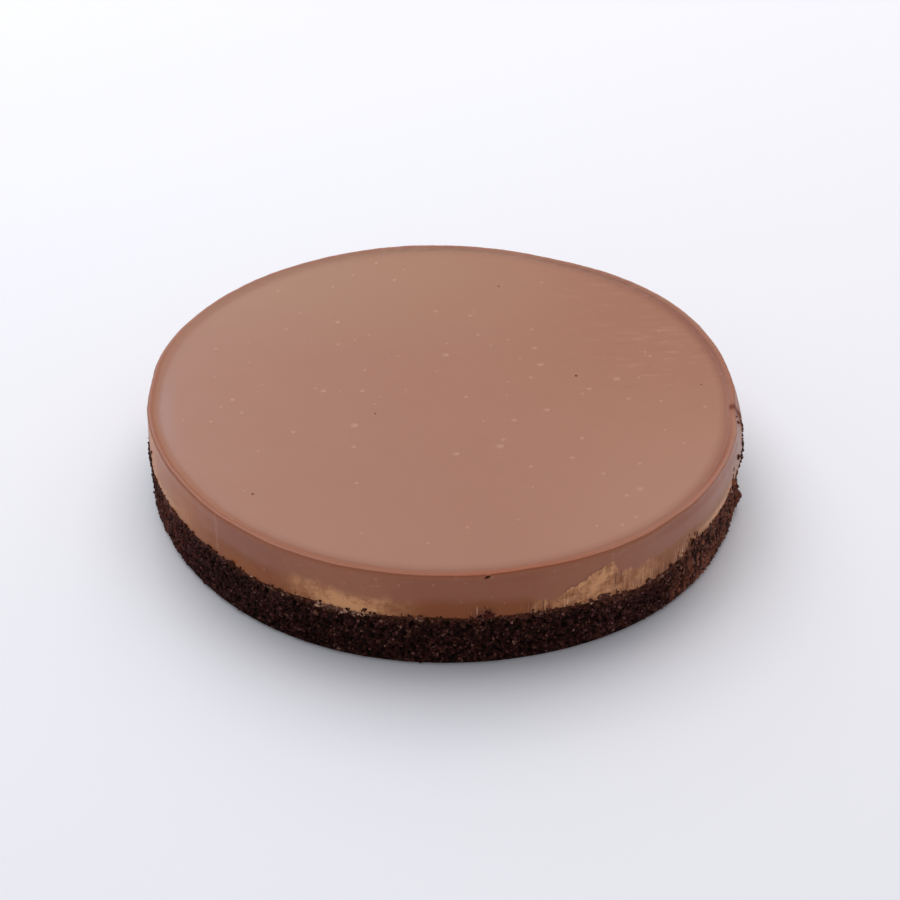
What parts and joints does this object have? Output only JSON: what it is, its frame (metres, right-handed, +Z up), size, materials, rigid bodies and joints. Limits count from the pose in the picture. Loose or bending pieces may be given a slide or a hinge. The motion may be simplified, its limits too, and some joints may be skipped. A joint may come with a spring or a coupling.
{
  "type": "milk chocolate layer cake",
  "caption": "Whole round chocolate cake: dark crumbly sponge base under a smooth set layer of milk chocolate cream with a thin raised rim",
  "frame": {"origin": "middle of the flat underside of the sponge base, on the surface the cake stands on", "axes": "+Z up through the layers, +X to the right and -Y to the front as the cake is shown; the cake is near enough round"},
  "size_m": [0.2294, 0.2314, 0.0396],
  "materials": {
    "sponge": "moist open crumb of dark chocolate sponge",
    "cream": "smooth set milk chocolate cream, satin on top and glossy at the side"
  },
  "bodies": {
    "root": {"sponge_base": "sponge", "chocolate_cream": "cream"}
  },
  "joints": []
}
